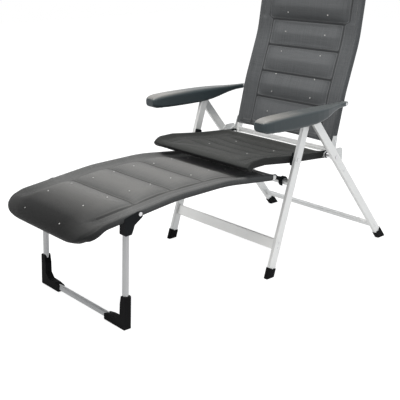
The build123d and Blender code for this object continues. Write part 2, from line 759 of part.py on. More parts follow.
def channel_section(x, start, end, start_normal, end_normal, half, crown, sag):
    sn = start_normal
    en = end_normal
    a = (start[0] - sn[0] * (half + sag), start[1] - sn[1] * (half + sag))
    b = (end[0] - en[0] * (half + sag), end[1] - en[1] * (half + sag))
    c = (end[0] + en[0] * (half - sag), end[1] + en[1] * (half - sag))
    d = (start[0] + sn[0] * (half - sag), start[1] + sn[1] * (half - sag))
    mid = ((c[0] + d[0]) / 2 + (sn[0] + en[0]) / 2 * crown, (c[1] + d[1]) / 2 + (sn[1] + en[1]) / 2 * crown)
    outline = [
        Line((x, *a), (x, *b)),
        Line((x, *b), (x, *c)),
        ThreePointArc((x, *c), (x, *mid), (x, *d)),
        Line((x, *d), (x, *a)),
    ]
    return Face(Wire(outline))


def make_channels(points, normals, edge_x, channel_half_width, crown, sag=0):
    solids = []
    for n in range(len(points) - 1):
        sections = []
        stations = [
            (-edge_x, pad_edge_half, pad_edge_rise, 0),
            (-channel_half_width, pad_edge_half, pad_edge_rise, sag * pad_edge_sag_share),
            (-channel_half_width + pad_fall_width, pad_seam_half, crown * pad_shoulder_share, sag * pad_shoulder_sag_share),
            (0, pad_seam_half, crown, sag),
            (channel_half_width - pad_fall_width, pad_seam_half, crown * pad_shoulder_share, sag * pad_shoulder_sag_share),
            (channel_half_width, pad_edge_half, pad_edge_rise, sag * pad_edge_sag_share),
            (edge_x, pad_edge_half, pad_edge_rise, 0),
        ]
        for x, half, rise, drop in stations:
            sections.append(channel_section(
                x, points[n], points[n + 1], normals[n], normals[n + 1], half, rise, drop))
        solids.append(loft(sections, ruled=True))
    pad = solids[0]
    for solid in solids[1:]:
        pad = pad + solid
    return pad


seat_edge_x = seat_rail_inner_x
back_edge_x = back_rail_inner_x
rest_edge_x = rest_rail_x - rest_rail_radius
seat_pad = make_channels(
    seat_pad_points, seam_normals(seat_pad_points), seat_edge_x, seat_channel_half_width, seat_crown, seat_sag)
head_count = len(head_pad_points)
back_line = head_pad_points + back_pad_points[1:]
back_normals = seam_normals(back_line)
headrest_pad = make_channels(
    back_line[:head_count], back_normals[:head_count], back_edge_x, head_channel_half_width, head_crown)
back_pad = make_channels(
    back_line[head_count - 1:], back_normals[head_count - 1:], back_edge_x, back_channel_half_width, back_crown)
rest_line = rest_pad_points + rest_lip_points[1:]
rest_normals = seam_normals(rest_line)
leg_rest_pad = make_channels(
    rest_line[:-1], rest_normals[:-1], rest_edge_x, rest_channel_half_width, rest_crown)
leg_rest_pad += make_channels(
    rest_line[-2:], rest_normals[-2:], rest_lip_half_width, rest_channel_half_width - pad_fall_width, rest_lip_crown)

nodes = {
    "rear_leg_left": rear_leg,
    "rear_leg_right": mirror(rear_leg, about=Plane.YZ),
    "rear_leg_plugs": both(plugs_rear),
    "rear_foot_caps": both(rear_cap),
    "rear_crossbar": rear_crossbar,
    "rear_rivets": both(Compound(children=rear_rivets + [bracket_rivet])),
    "hinge_brackets": both(hinge_bracket),
    "hinge_bolts": both(hinge_bolt),
    "hinge_spacers": both(hinge_spacer),
    "rear_apex_pins": both(rear_apex_pin),
    "front_leg_left": front_leg,
    "front_leg_right": mirror(front_leg, about=Plane.YZ),
    "front_leg_plugs": both(plugs_front),
    "front_foot_caps": both(front_cap),
    "front_crossbar": front_crossbar,
    "front_rivets": both(Compound(children=front_rivets)),
    "leg_rest_bar": leg_rest_bar,
    "front_apex_pins": both(front_apex_pin),
    "seat_pivot_bolts": both(seat_pivot_bolt),
    "seat_rail_left": seat_rail,
    "seat_rail_right": mirror(seat_rail, about=Plane.YZ),
    "seat_front_bar": seat_front_bar,
    "seat_rear_bar": seat_rear_bar,
    "seat_end_caps": both(seat_end_cap),
    "seat_fittings": both(seat_fitting),
    "seat_pad": seat_pad,
    "back_bushes": both(back_bush),
    "back_rail_left": back_rail,
    "back_rail_right": mirror(back_rail, about=Plane.YZ),
    "back_bottom_bar": back_bottom_bar,
    "back_top_bar": back_top_bar,
    "back_hinge_plates": both(hinge_plate),
    "back_plate_rivets": both(Compound(children=plate_rivets)),
    "back_pad": back_pad,
    "headrest_pad": headrest_pad,
    "armrest_pins": both(arm_pin),
    "armrest_left": armrest,
    "armrest_right": mirror(armrest, about=Plane.YZ),
    "armrest_racks": both(rack),
    "leg_rest_rail_left": rest_rail,
    "leg_rest_rail_right": mirror(rest_rail, about=Plane.YZ),
    "leg_rest_front_bar": rest_front_bar,
    "leg_rest_hooks": both(hook),
    "leg_rest_pad": leg_rest_pad,
    "support_tube": support_tube,
    "support_brackets": both(support_bracket),
    "support_bolts": both(support_bolt),
    "support_feet": both(corner_foot),
}

# The origin is the middle of the footprint on the floor
low_y = min(shape.bounding_box().min.Y for shape in nodes.values())
high_y = max(shape.bounding_box().max.Y for shape in nodes.values())
place = Pos(0, -(low_y + high_y) / 2, 0)

os.makedirs("parts", exist_ok=True)
for name, shape in nodes.items():
    export_step(place * shape, "parts/" + name + ".step")
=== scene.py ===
import json
import math
from collections import namedtuple

import bpy
import numpy as np
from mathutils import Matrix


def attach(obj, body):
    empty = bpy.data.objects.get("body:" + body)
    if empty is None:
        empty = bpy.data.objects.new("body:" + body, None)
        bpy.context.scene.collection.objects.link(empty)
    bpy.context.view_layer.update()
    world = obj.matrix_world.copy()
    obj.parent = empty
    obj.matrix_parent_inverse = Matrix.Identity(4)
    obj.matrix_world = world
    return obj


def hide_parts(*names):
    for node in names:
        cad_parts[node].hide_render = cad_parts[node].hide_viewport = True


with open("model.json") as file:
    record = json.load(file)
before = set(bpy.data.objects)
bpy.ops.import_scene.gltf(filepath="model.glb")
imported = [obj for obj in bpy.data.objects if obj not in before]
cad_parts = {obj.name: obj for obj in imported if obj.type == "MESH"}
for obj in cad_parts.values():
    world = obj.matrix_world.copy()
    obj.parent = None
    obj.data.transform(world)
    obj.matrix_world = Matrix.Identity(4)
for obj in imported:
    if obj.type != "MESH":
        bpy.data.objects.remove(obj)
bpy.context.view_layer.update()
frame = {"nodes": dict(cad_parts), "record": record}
SCENE = bpy.context.scene
MM = 0.001
SHIFT_Y = 0.044413  # the rail lines are drawn in the chair's own y, and the frame's y is this much more


# Shader nodes
def node(tree, kind, values=None, **props):
    """A new node with its properties and its socket values set."""
    made = tree.nodes.new(kind)
    for key, value in props.items():
        setattr(made, key, value)
    for key, value in (values or {}).items():
        made.inputs[key].default_value = value
    return made


def empty_material(name):
    """A material whose tree holds only its output node, as (material, tree, output node)."""
    mat = bpy.data.materials.new(name)
    mat.use_nodes = True
    mat.node_tree.nodes.clear()
    return mat, mat.node_tree, mat.node_tree.nodes.new("ShaderNodeOutputMaterial")


def surface_material(name):
    """A material of one Principled shader, as (material, tree, shader)."""
    mat, tree, out = empty_material(name)
    shader = tree.nodes.new("ShaderNodeBsdfPrincipled")
    tree.links.new(shader.outputs[0], out.inputs[0])
    return mat, tree, shader


def maths(tree, operation, a, b=None):
    """A Math node's output. Numbers are set on its sockets, outputs are linked to them."""
    made = node(tree, "ShaderNodeMath", operation=operation)
    for index, value in enumerate((a, b)):
        if isinstance(value, (int, float)):
            made.inputs[index].default_value = value
        elif value is not None:
            tree.links.new(value, made.inputs[index])
    return made.outputs[0]


def ramp(tree, source, low, high, first=0.0, last=1.0):
    """The source's run from low to high becomes a straight run from first to last, held beyond both."""
    made = node(tree, "ShaderNodeMapRange", {1: low, 2: high, 3: first, 4: last})
    tree.links.new(source, made.inputs[0])
    return made.outputs[0]


def mix_colour(tree, factor, a, b):
    """a where the factor is 0, b where it is 1. Each is a colour or an output."""
    made = node(tree, "ShaderNodeMix", data_type="RGBA")
    tree.links.new(factor, made.inputs[0])
    for index, value in ((6, a), (7, b)):
        if isinstance(value, tuple):
            made.inputs[index].default_value = (*value, 1.0)
        else:
            tree.links.new(value, made.inputs[index])
    return made.outputs[2]


def shade(colour, share, more=0.0):
    """The colour times a share, plus a little more, and no brighter than white."""
    return tuple(min(1, c * share + more) for c in colour)


def split_xyz(tree, source):
    """A vector's three outputs."""
    split = tree.nodes.new("ShaderNodeSeparateXYZ")
    tree.links.new(source, split.inputs[0])
    return split.outputs


def object_place(tree):
    """The place in the piece's own frame, as three outputs."""
    return split_xyz(tree, tree.nodes.new("ShaderNodeTexCoord").outputs["Object"])


def noise(tree, source, scale, detail, rough=0.5, stretch=None):
    """Noise on a place, which is first multiplied by the stretch along each axis."""
    if stretch:
        mapping = node(tree, "ShaderNodeMapping", {"Scale": stretch})
        tree.links.new(source, mapping.inputs[0])
        source = mapping.outputs[0]
    made = node(tree, "ShaderNodeTexNoise", {"Scale": scale, "Detail": detail, "Roughness": rough})
    tree.links.new(source, made.inputs["Vector"])
    return made.outputs[0]


def object_noise(tree, scale, detail=3.0, rough=0.55, stretch=None):
    """Noise on the place in the piece's own frame."""
    source = tree.nodes.new("ShaderNodeTexCoord").outputs["Object"]
    return noise(tree, source, scale, detail, rough, stretch)


def upward(tree, low, high):
    """0 to 1 with how far the surface looks up, in the piece's own frame."""
    normal = tree.nodes.new("ShaderNodeTexCoord").outputs["Normal"]
    return ramp(tree, split_xyz(tree, normal)[2], low, high)


def attribute(tree, name):
    """A value that the mesh carries at each of its points."""
    return node(tree, "ShaderNodeAttribute", attribute_name=name).outputs["Fac"]


def bump(tree, shader, height, strength, distance, before=None):
    """Tilts the shader's normal by a height, on top of an earlier bump where there is one."""
    made = node(tree, "ShaderNodeBump", {"Strength": strength, "Distance": distance})
    tree.links.new(height, made.inputs["Height"])
    if before is not None:
        tree.links.new(before, made.inputs["Normal"])
    tree.links.new(made.outputs[0], shader.inputs["Normal"])
    return made.outputs[0]


# Metal and plastic
def metal_material(name, colour, rough, metallic, lines):
    """Satin extruded metal: fine lines along the tube, faint cloudiness and small wear marks."""
    mat, tree, shader = surface_material(name)
    cloud = object_noise(tree, 9.0, detail=4.0)
    fine = object_noise(tree, 140.0, rough=0.6, stretch=lines)
    marks = ramp(tree, object_noise(tree, 55.0, detail=5.0, rough=0.7), 0.66, 0.74, last=0.35)
    tone = mix_colour(tree, cloud, shade(colour, 0.93), shade(colour, 1.05))
    tone = mix_colour(tree, marks, tone, shade(colour, 0.72))
    tree.links.new(tone, shader.inputs["Base Color"])
    tree.links.new(ramp(tree, fine, 0.3, 0.7, rough - 0.05, rough + 0.07), shader.inputs["Roughness"])
    shader.inputs["Metallic"].default_value = metallic
    bump(tree, shader, fine, strength=0.06, distance=0.0006)
    return mat


HIGHLIGHT_BACK, HIGHLIGHT_FRONT = 0.16, 0.02  # y over which the warm painted highlight on an armrest's top grows from a quarter to full strength


def plastic_material(name, colour, rough, grain, shine, top_highlight=None):
    """Moulded plastic: fine spark grain in the bump, slow colour drift, edges painted paler as a highlight,
    and on an armrest a warm painted highlight on the top that looks up, strongest at the front."""
    mat, tree, shader = surface_material(name)
    cloud = object_noise(tree, 6.0)
    fine = object_noise(tree, grain, detail=2.0, rough=0.5)
    tone = mix_colour(tree, cloud, shade(colour, 0.86), shade(colour, 1.12))
    if top_highlight:
        # the top that looks up gets a warm painted highlight, strongest at the front
        top = maths(tree, "MULTIPLY", upward(tree, 0.35, 1.0), 0.85)
        front_fade = ramp(tree, object_place(tree)[1], HIGHLIGHT_BACK, HIGHLIGHT_FRONT, first=0.25)
        tone = mix_colour(tree, maths(tree, "MULTIPLY", top, front_fade), tone, top_highlight)
    # painted highlight on the sharp edges
    edge_highlight = ramp(tree, tree.nodes.new("ShaderNodeNewGeometry").outputs["Pointiness"], 0.53, 0.62, last=0.4)
    tone = mix_colour(tree, edge_highlight, tone, shade(colour, 1.9, more=0.02))
    tree.links.new(tone, shader.inputs["Base Color"])
    tree.links.new(ramp(tree, fine, 0.3, 0.7, rough - 0.05, rough + 0.06), shader.inputs["Roughness"])
    shader.inputs["Specular IOR Level"].default_value = shine
    bump(tree, shader, fine, strength=0.18, distance=0.0004)
    return mat


# Padded cloth
WEAVE_PITCH = 0.0021   # from one thread's crown to the next
STITCH_PITCH = 0.0046  # along a row of lockstitch
STITCH_ROW = 0.0052    # from a seam to the row beside it
ROLL_MIDDLE, ROLL_SIDE = 0.12, 0.23  # x over which the painted shade on the leg rest's roll weakens to its sides


def fabric_material(name, colour, pale, under=(0.3, -0.5), roll_shade=None, crown_highlight=0.48):
    """Coated mesh cloth. The weave is the product of two sines of the cloth coordinates, with noise streaks
    along the warp and slubs along the weft. Each seam has a fold, dipped in the bump and darkened with
    painted shade, a pale band painted as the highlight of a puckered ridge along its row of lockstitch, and a
    cross seam lies in a wide valley of painted shade, with more painted shade near every seam. A painted
    highlight lies where the channels crown and where the cloth looks up, and painted shade darkens the cloth
    where it looks down and, on a roll, from its first distance to its second."""
    mat, tree, shader = surface_material(name)
    uv = node(tree, "ShaderNodeUVMap", uv_map="cloth").outputs[0]
    u, v = split_xyz(tree, uv)[:2]

    def wave(source, pitch):
        """The sine of a full turn in each pitch."""
        return maths(tree, "SINE", maths(tree, "MULTIPLY", source, 2 * math.pi / pitch))

    def times(factor, share):
        """The product of the two."""
        return maths(tree, "MULTIPLY", factor, share)

    weave = ramp(tree, times(wave(u, WEAVE_PITCH), wave(v, WEAVE_PITCH)), -1.0, 1.0)
    streak = noise(tree, uv, 1.0, detail=2.0, stretch=(900.0, 6.0, 1.0))
    slub = noise(tree, uv, 1.0, detail=2.0, stretch=(10.0, 420.0, 1.0))
    cloud = object_noise(tree, 5.0, detail=4.0)
    seam = attribute(tree, "seam_distance")
    valley_shade = ramp(tree, attribute(tree, "cross_distance"), 0.0015, 0.0095, 0.72, 0.0)
    fold = ramp(tree, seam, 0.0006, 0.0042, 1.0, 0.0)
    seam_shade = ramp(tree, seam, 0.0, 0.02, 1.0, 0.0)
    dash = ramp(tree, wave(attribute(tree, "seam_along"), STITCH_PITCH), -0.35, 0.1)
    row = maths(tree, "ABSOLUTE", maths(tree, "SUBTRACT", seam, STITCH_ROW))
    stitch = times(ramp(tree, row, 0.0003, 0.0009, 1.0, 0.0), dash)
    ridge_highlight = ramp(tree, row, 0.0008, 0.0034, 0.34, 0.0)

    # the ground tone, then what lies over it in turn, each with its strength
    tone = mix_colour(tree, ramp(tree, cloud, 0.3, 0.7), shade(colour, 0.88), shade(colour, 1.1))
    layers = [
        (ramp(tree, streak, 0.35, 0.65, last=0.34), pale),
        (ramp(tree, slub, 0.4, 0.7, last=0.2), pale),
        (ramp(tree, weave, 0.0, 1.0, 0.28, 0.0), shade(colour, 0.45)),
        # painted highlight on the channels' crowns
        (times(attribute(tree, "crown"), crown_highlight), pale),
        # painted shade near the seams
        (times(seam_shade, 0.35), shade(colour, 0.5)),
        # pale band painted as the highlight of the puckered ridge along the stitch row
        (ridge_highlight, pale),
        # painted shade in the wide valley of a cross seam
        (valley_shade, shade(colour, 0.3)),
        # painted shade in the seam's fold
        (times(fold, 0.55), shade(colour, 0.22)),
        (times(stitch, 0.5), pale),
        # painted highlight where the cloth looks up
        (times(upward(tree, 0.35, 1.0), 0.26), pale),
        # painted shade where the cloth looks down
        (times(upward(tree, *under), 0.82), shade(colour, 0.25)),
    ]
    # painted shade over the roll, weaker at its sides
    if roll_shade:
        off_middle = maths(tree, "ABSOLUTE", object_place(tree)[0])
        side = ramp(tree, off_middle, ROLL_MIDDLE, ROLL_SIDE, 0.97, 0.70)
        layers.append((times(ramp(tree, v, *roll_shade), side), shade(colour, 0.05)))
    for factor, over in layers:
        tone = mix_colour(tree, factor, tone, over)
    tree.links.new(tone, shader.inputs["Base Color"])
    tree.links.new(ramp(tree, weave, 0.0, 1.0, 0.72, 0.56), shader.inputs["Roughness"])
    shader.inputs["Sheen Weight"].default_value = 0.07
    shader.inputs["Sheen Roughness"].default_value = 0.4
    shader.inputs["Specular IOR Level"].default_value = 0.16
    woven = bump(tree, shader, weave, strength=0.35, distance=0.0005)
    lift = maths(tree, "SUBTRACT", stitch, times(fold, 1.6))
    bump(tree, shader, lift, strength=0.5, distance=0.001, before=woven)
    return mat


TUBE = metal_material("satin_tube", (0.76, 0.765, 0.76), 0.42, 0.4, (1.0, 0.08, 0.08))
# brighter than the tube's metal: painted light for the bar's front face, which the lamps light less
CROSSBAR = metal_material("satin_crossbar", (0.86, 0.86, 0.845), 0.42, 0.6, (0.08, 1.0, 1.0))
ROUND = metal_material("round_tube", (0.43, 0.435, 0.44), 0.36, 0.5, (1.0, 1.0, 0.08))
BRACKET = metal_material("cast_bracket", (0.60, 0.61, 0.61), 0.5, 0.5, (1.0, 1.0, 1.0))
STEEL = metal_material("zinc_steel", (0.62, 0.62, 0.63), 0.3, 0.9, (1.0, 1.0, 1.0))
BLACK = plastic_material("black_moulding", (0.004, 0.005, 0.006), 0.45, 900.0, 0.04)
RUBBER = plastic_material("black_rubber", (0.003, 0.003, 0.0035), 0.6, 700.0, 0.03)
# the last colour is the warm painted highlight on the armrest's top
ARM = plastic_material("armrest_moulding", (0.029, 0.041, 0.046), 0.36, 1100.0, 0.36, (0.225, 0.218, 0.206))
THREAD = plastic_material("thread_tuft", (0.42, 0.42, 0.41), 0.6, 500.0, 0.4)

SLOT_LOOKS = {
    "satin_aluminium": TUBE, "bracket_aluminium": BRACKET, "steel": STEEL,
    "black_plastic": BLACK, "rubber_caps": RUBBER, "armrest_plastic": ARM,
}
PIECE_LOOKS = {"front_crossbar": CROSSBAR, "support_tube": ROUND}
slots = {part["node"]: part["material_slot"] for part in frame["record"]["subparts"]}
for name, obj in frame["nodes"].items():
    look = PIECE_LOOKS.get(name) or SLOT_LOOKS.get(slots.get(name))
    if look:
        obj.data.materials.clear()
        obj.data.materials.append(look)


# Rail lines
LINE_STEP = 0.004
ARC_POINTS = 9


def rail_line(points, radii):
    """Straight runs joined by arcs that touch them, as (points, distances, directions) every few millimetres.
    The arc at a corner swings about a centre that lies radius times the tangent of half the turn back along
    the run, and one radius to the inside."""
    pts = np.array(points, float) * MM
    out = [pts[0]]
    for before, corner, after, radius in zip(pts, pts[1:], pts[2:], radii):
        u = (corner - before) / np.linalg.norm(corner - before)
        v = (after - corner) / np.linalg.norm(after - corner)
        angle = math.acos(float(np.clip(u @ v, -1, 1)))
        inward = v - u * (u @ v)
        inward /= np.linalg.norm(inward)
        centre = corner - u * radius * math.tan(angle / 2) + inward * radius
        turns = np.linspace(0, angle, ARC_POINTS)[:, None]
        out.extend(centre - inward * radius * np.cos(turns) + u * radius * np.sin(turns))
    out.append(pts[-1])
    line = np.array(out)
    along = np.concatenate([[0], np.cumsum(np.linalg.norm(np.diff(line, axis=0), axis=1))])
    at = np.linspace(0, along[-1], int(along[-1] / LINE_STEP))
    dense = np.stack([np.interp(at, along, line[:, 0]), np.interp(at, along, line[:, 1])], axis=1)
    slope = np.gradient(dense, axis=0)
    return dense, at, slope / np.linalg.norm(slope, axis=1)[:, None]


def distance_at(line, y=None, z=None):
    """The distance along a line where it passes a y or a z."""
    column, value = (0, y) if z is None else (1, z)
    return float(line[1][int(np.argmin(np.abs(line[0][:, column] - value)))])


def on_line(line, distance, side, lift):
    """The frame's y and z at a distance along a line and lifted off it square to its direction, towards the
    side 1 or -1, with the direction's own y and z."""
    dense, at, slope = line
    y, z = np.interp(distance, at, dense[:, 0]), np.interp(distance, at, dense[:, 1])
    ty, tz = np.interp(distance, at, slope[:, 0]), np.interp(distance, at, slope[:, 1])
    return y + tz * side * lift + SHIFT_Y, z - ty * side * lift, ty, tz


def smooth(x):
    """0 up to 0, 1 from 1, and between them 3 x squared less 2 x cubed."""
    x = np.clip(x, 0, 1)
    return x * x * (3 - 2 * x)


# Sewn padded covers
Rail = namedtuple("Rail", "x half rise")  # x of its centre line, its half width and its half depth
Nose = namedtuple("Nose", "half length corner bar taper blunt")
Panel = namedtuple("Panel", "name line side rail channel seams first last crown sag nose head tail")

WRAP = 0.0014         # the cloth outside a rail
BORDER_HALF = 0.0022  # half thickness of the flat border beside the channels
FALL_RUN = 0.0165     # how far inside a rail the cloth is down at the border
TOP_FILL, BOTTOM_FILL = 0.0016, 0.0022  # a channel's least fill, above and below
FILL_RUN = 0.03       # how far inside its side seams a channel has that fill
SEAM_RISE_RUN, SIDE_RISE_RUN = 0.055, 0.05  # over which a channel rises off a cross seam and a side seam
CROWN_EDGE_SHARE = 0.86   # of the crown, left at the side seams by its slow cosine
NOSE_GROW_SHARE = 0.75    # of the nose's length, over which it grows
TAIL_GROW_SHARE = 0.4     # of the tail's length, over which it grows
THICK_LOSS_SHARE = 0.4    # of a channel's rise and fill, lost over the bars
SAG_CLEAR_SHARE = 0.35    # of the channels' half width, inside which the whole sag hangs
CORNER_CUT_SHARE = 0.4    # of the plan corner's reach, the most that its round takes off
EDGE_SHARE, START_EDGE = 0.12, 0.004  # thickness left in a closed edge, and the run of a thick start's edge
HEM_SHARE, HEM_RUN = 0.55, 0.020      # thickness left in a plain start's hem, and its run
HEM_ROW, HEM_CLEAR = 0.018, 0.004     # its stitched row off the start, which ends clear of the rails
PULL, PULL_RUN = 0.006, 0.08          # the start edge's middle is drawn in along the line
TAPER_RUN = 0.034     # of the nose, over which it tapers in plan
SEAM_HALF = 0.001     # half width of a sewn seam
START_HELD, END_HELD = 0.012, 0.004   # of the cloth at the two ends, held by its hems

ROW_STEP = 0.0075     # along the line, between two rows of points
END_ROWS_FROM = 1.3   # closing lengths off the last end, where the close rows take over
END_ROW_SHARES = np.array([0.0, 0.03, 0.1, 0.22, 0.42, 0.7, 1.05])  # of the closing length
RAIL_POINTS, BORDER_POINTS, CHANNEL_POINTS, TURN_POINTS = 4, 5, 22, 11
RAIL_INSET, BORDER_INSET = 0.002, 0.010  # inside the rail, where its points end and the border's begin
BORDER_CLEAR = 0.004  # outside the side seam, where the border's points end
SEAM_INSETS, CHANNEL_INSET = np.array([0.003, 0.009, 0.018]), 0.027  # inside the side seam
SQUARENESS = 0.6      # below 1 the skin round a rail is squarer than a circle


def add_to_scene(mesh, material):
    """A smooth-shaded object of the mesh, in the scene."""
    mesh.materials.append(material)
    mesh.polygons.foreach_set("use_smooth", np.ones(len(mesh.polygons), dtype=bool))
    mesh.update()
    obj = bpy.data.objects.new(mesh.name, mesh)
    SCENE.collection.objects.link(obj)
    return obj


def grid_mesh(name, verts, rows, columns, material, uv, attributes):
    """A mesh from rows by columns of points. The columns close on themselves, and each end row is capped by
    quads from its first half to its second."""
    r, c = np.arange(rows - 1)[:, None] * columns, np.arange(columns)[None, :]
    after = (c + 1) % columns
    faces = [np.stack([r + c, r + after, r + columns + after, r + columns + c], axis=-1).reshape(-1, 4)]
    step = np.arange(columns // 2 - 1)
    for base, turn in ((0, 1), ((rows - 1) * columns, -1)):
        a, b = base + step, base + columns - 1 - step
        faces.append(np.stack([a, b, b - 1, a + 1], axis=-1)[:, ::turn])
    mesh = bpy.data.meshes.new(name)
    mesh.from_pydata(verts.tolist(), [], np.concatenate(faces).tolist())
    corners = np.empty(len(mesh.loops), dtype=np.int32)
    mesh.loops.foreach_get("vertex_index", corners)
    mesh.uv_layers.new(name="cloth").data.foreach_set("uv", uv[corners].astype(np.float32).ravel())
    for key, values in attributes.items():
        carried = mesh.attributes.new(key, "FLOAT", "POINT")
        carried.data.foreach_set("value", values.astype(np.float32).ravel())
    return add_to_scene(mesh, material)


def row_distances(panel):
    """Even steps along the line, the nearest moved on to each cross seam, and close rows where the last end
    rounds off."""
    s = np.linspace(panel.first, panel.last, int((panel.last - panel.first) / ROW_STEP) + 1)
    for seam in panel.seams:
        s[int(np.argmin(np.abs(s - seam)))] = seam
    even = s[s < panel.last - END_ROWS_FROM * panel.nose.blunt]
    return np.unique(np.concatenate([even, panel.last - END_ROW_SHARES * panel.nose.blunt]))


def column_places(panel):
    """The columns once round the skin, as (x, height round a rail, on top, below): across the top from one
    rail to the other, round that rail, back along the bottom and round the first. Round a rail, x and height
    follow the sine and the cosine of the turn, raised to the squareness."""
    rail, channel = panel.rail, panel.channel
    inner = rail.x - rail.half
    half_top = np.concatenate([
        np.linspace(rail.x, inner - RAIL_INSET, RAIL_POINTS),
        np.linspace(inner - BORDER_INSET, channel + BORDER_CLEAR, BORDER_POINTS),
        [channel], channel - SEAM_INSETS, np.linspace(channel - CHANNEL_INSET, 0, CHANNEL_POINTS),
    ])
    top_x = np.concatenate([half_top, -half_top[::-1][1:]])
    turn = np.linspace(0, math.pi, TURN_POINTS)[1:-1]
    side_x = rail.x + (rail.half + WRAP) * np.sin(turn) ** SQUARENESS
    side_n = np.sign(np.cos(turn)) * np.abs(np.cos(turn)) ** SQUARENESS
    flat = np.zeros(len(top_x))
    x = np.concatenate([top_x, -side_x, -top_x, side_x[::-1]])
    turned = np.concatenate([flat, side_n, flat, side_n[::-1]])
    index, below_from = np.arange(len(x)), len(top_x) + len(turn)
    return x, turned, index < len(top_x), (index >= below_from) & (index < below_from + len(top_x))


def padded_panel(panel, material):
    """One sewn panel hung between two rails, as (object, pins): a closed skin that passes over and round both
    rails, with a flat border strip, two seams along the rails and cross seams between full channels. It lies
    on the panel's line from its first distance to its last.

    The skin stands off the line by half its thickness, which is most over a rail and falls in a smooth step
    to the border inside it. A channel adds its crown, times the square roots of the ways from the cross seam
    and from the side seam, and the middle hangs by the sag. Towards the last distance the skin thickens to
    enclose the cross bar: the nose has a half thickness, the length over which it grows, the radius of its
    plan corner, the distance of the bar, the taper in plan beyond it and the length in which it closes. A
    tail is the length of a thick end at the start. Past the head's distance the side seams stand at its half
    width."""
    rail, nose, channel = panel.rail, panel.nose, panel.channel
    outer, inner = rail.x + rail.half + WRAP, rail.x - rail.half
    s = row_distances(panel)[:, None]
    x, turned, is_top, is_bottom = column_places(panel)
    ax, field = np.abs(x), is_top | is_bottom
    start_gap, end_gap = s - panel.first, panel.last - s
    seam_gap = np.min(np.abs(s - np.array(panel.seams)), axis=1)[:, None]

    # half thickness over the rails, on the border and at the thick ends
    grow = smooth((s - (nose.bar - nose.length)) / (NOSE_GROW_SHARE * nose.length))
    if panel.tail:
        grow = np.maximum(grow, smooth((panel.first + panel.tail - s) / (TAIL_GROW_SHARE * panel.tail)))
    border = BORDER_HALF + (nose.half - BORDER_HALF) * grow
    over_rail = (rail.rise + WRAP) * (1 - grow) + max(nose.half, rail.rise + WRAP) * grow
    fall = smooth((rail.x - ax) / (rail.half + FALL_RUN))
    level = over_rail * (1 - fall) + border * fall

    # channels
    off_seam = np.sqrt(np.clip(np.minimum(seam_gap, end_gap) / SEAM_RISE_RUN, 0, 1))
    off_side = np.sqrt(np.clip((channel - ax) / SIDE_RISE_RUN, 0, 1))
    dome = np.sqrt(np.clip(1 - (ax / outer) ** 3, 0, 1))
    across = off_side * (1 - grow) + dome * grow
    crown = np.array(panel.crown)[np.searchsorted(np.sort(panel.seams), s)]
    slow = CROWN_EDGE_SHARE + (1 - CROWN_EDGE_SHARE) * np.cos(ax / channel * math.pi / 2)
    rise = crown * off_seam * across * slow
    inside = smooth((channel - ax) / FILL_RUN)
    top = level + (rise + TOP_FILL * inside) * (1 - THICK_LOSS_SHARE * grow)
    n = np.where(is_top, top, np.where(is_bottom, -(level + BOTTOM_FILL * inside), over_rail * turned))

    # round closing edges, the thin hem at a plain start, and the sag
    closing = np.clip(end_gap / nose.blunt, 0, 1)
    if panel.tail:
        closing = np.minimum(closing, np.clip(start_gap / START_EDGE, 0, 1))
    n *= EDGE_SHARE + (1 - EDGE_SHARE) * np.sqrt(np.clip(1 - (1 - closing) ** 2, 0, 1))
    if not panel.tail:
        hem = HEM_SHARE + (1 - HEM_SHARE) * smooth(start_gap / HEM_RUN)
        n = np.where(field & (ax < inner), n * hem, n)
    n -= panel.sag * smooth((inner - ax) / (inner - SAG_CLEAR_SHARE * channel)) * field * (1 - grow)

    # plan outline: straight sides, a quarter round at the corner, then a slow taper round the nose
    reach = nose.corner + nose.half
    beyond = np.clip(s - (nose.bar - nose.corner), 0, reach)
    width = outer - reach + np.sqrt(np.maximum(reach ** 2 - beyond ** 2, 0))
    past = np.clip(1 - end_gap / TAPER_RUN, 0, 1)
    width = np.maximum(width, outer - CORNER_CUT_SHARE * reach) - nose.taper * (1 - np.sqrt(1 - past ** 2))
    half = np.where(s > panel.head[0], panel.head[1], channel) if panel.head else channel
    spread = half + (ax - channel) * (inner - half) / (inner - channel)
    flat = np.where(ax <= channel, ax * half / channel, spread)
    flat = np.where(field & (ax < inner), flat, ax) * np.sign(x)

    y, z, ty, tz = on_line(panel.line, s, panel.side, n)
    pull = PULL * smooth(1 - start_gap / PULL_RUN) * np.cos(np.clip(ax / outer, 0, 1) * math.pi / 2)
    verts = np.stack([flat * width / outer, y + ty * pull, z + tz * pull], axis=-1).reshape(-1, 3)

    # cloth coordinates, and the distance from each kind of seam, over 1 where it isn't sewn
    middle = n[len(s) // 2]
    steps = np.hypot(np.diff(np.append(x, x[0])), np.diff(np.append(middle, middle[0])))
    around = np.concatenate([[0], np.cumsum(steps)[:-1]])
    uv = np.stack(np.broadcast_arrays(around[None, :], s), axis=-1).reshape(-1, 2)
    side_seam = np.abs(ax - channel) + np.where(is_top, 0, 1) + grow
    cross_seam = seam_gap + np.where(is_top & (ax <= channel + SEAM_HALF), 0, 1)
    hem_seam = np.abs(start_gap - HEM_ROW) + np.where(ax < inner - HEM_CLEAR, 0, 1)
    others = np.minimum(cross_seam, hem_seam)
    obj = grid_mesh(panel.name, verts, len(s), len(x), material, uv, {
        "cross_distance": cross_seam,
        "seam_distance": np.minimum(side_seam, others),
        "seam_along": np.where(side_seam < others, s, x),
        "crown": (off_seam * across) ** 2 * is_top,
    })
    free = is_top & (ax < channel - SEAM_HALF) & (seam_gap > SEAM_HALF)
    return obj, ~(free & (start_gap > START_HELD) & (end_gap > END_HELD)).reshape(-1)


SWELL_FRAMES = 20


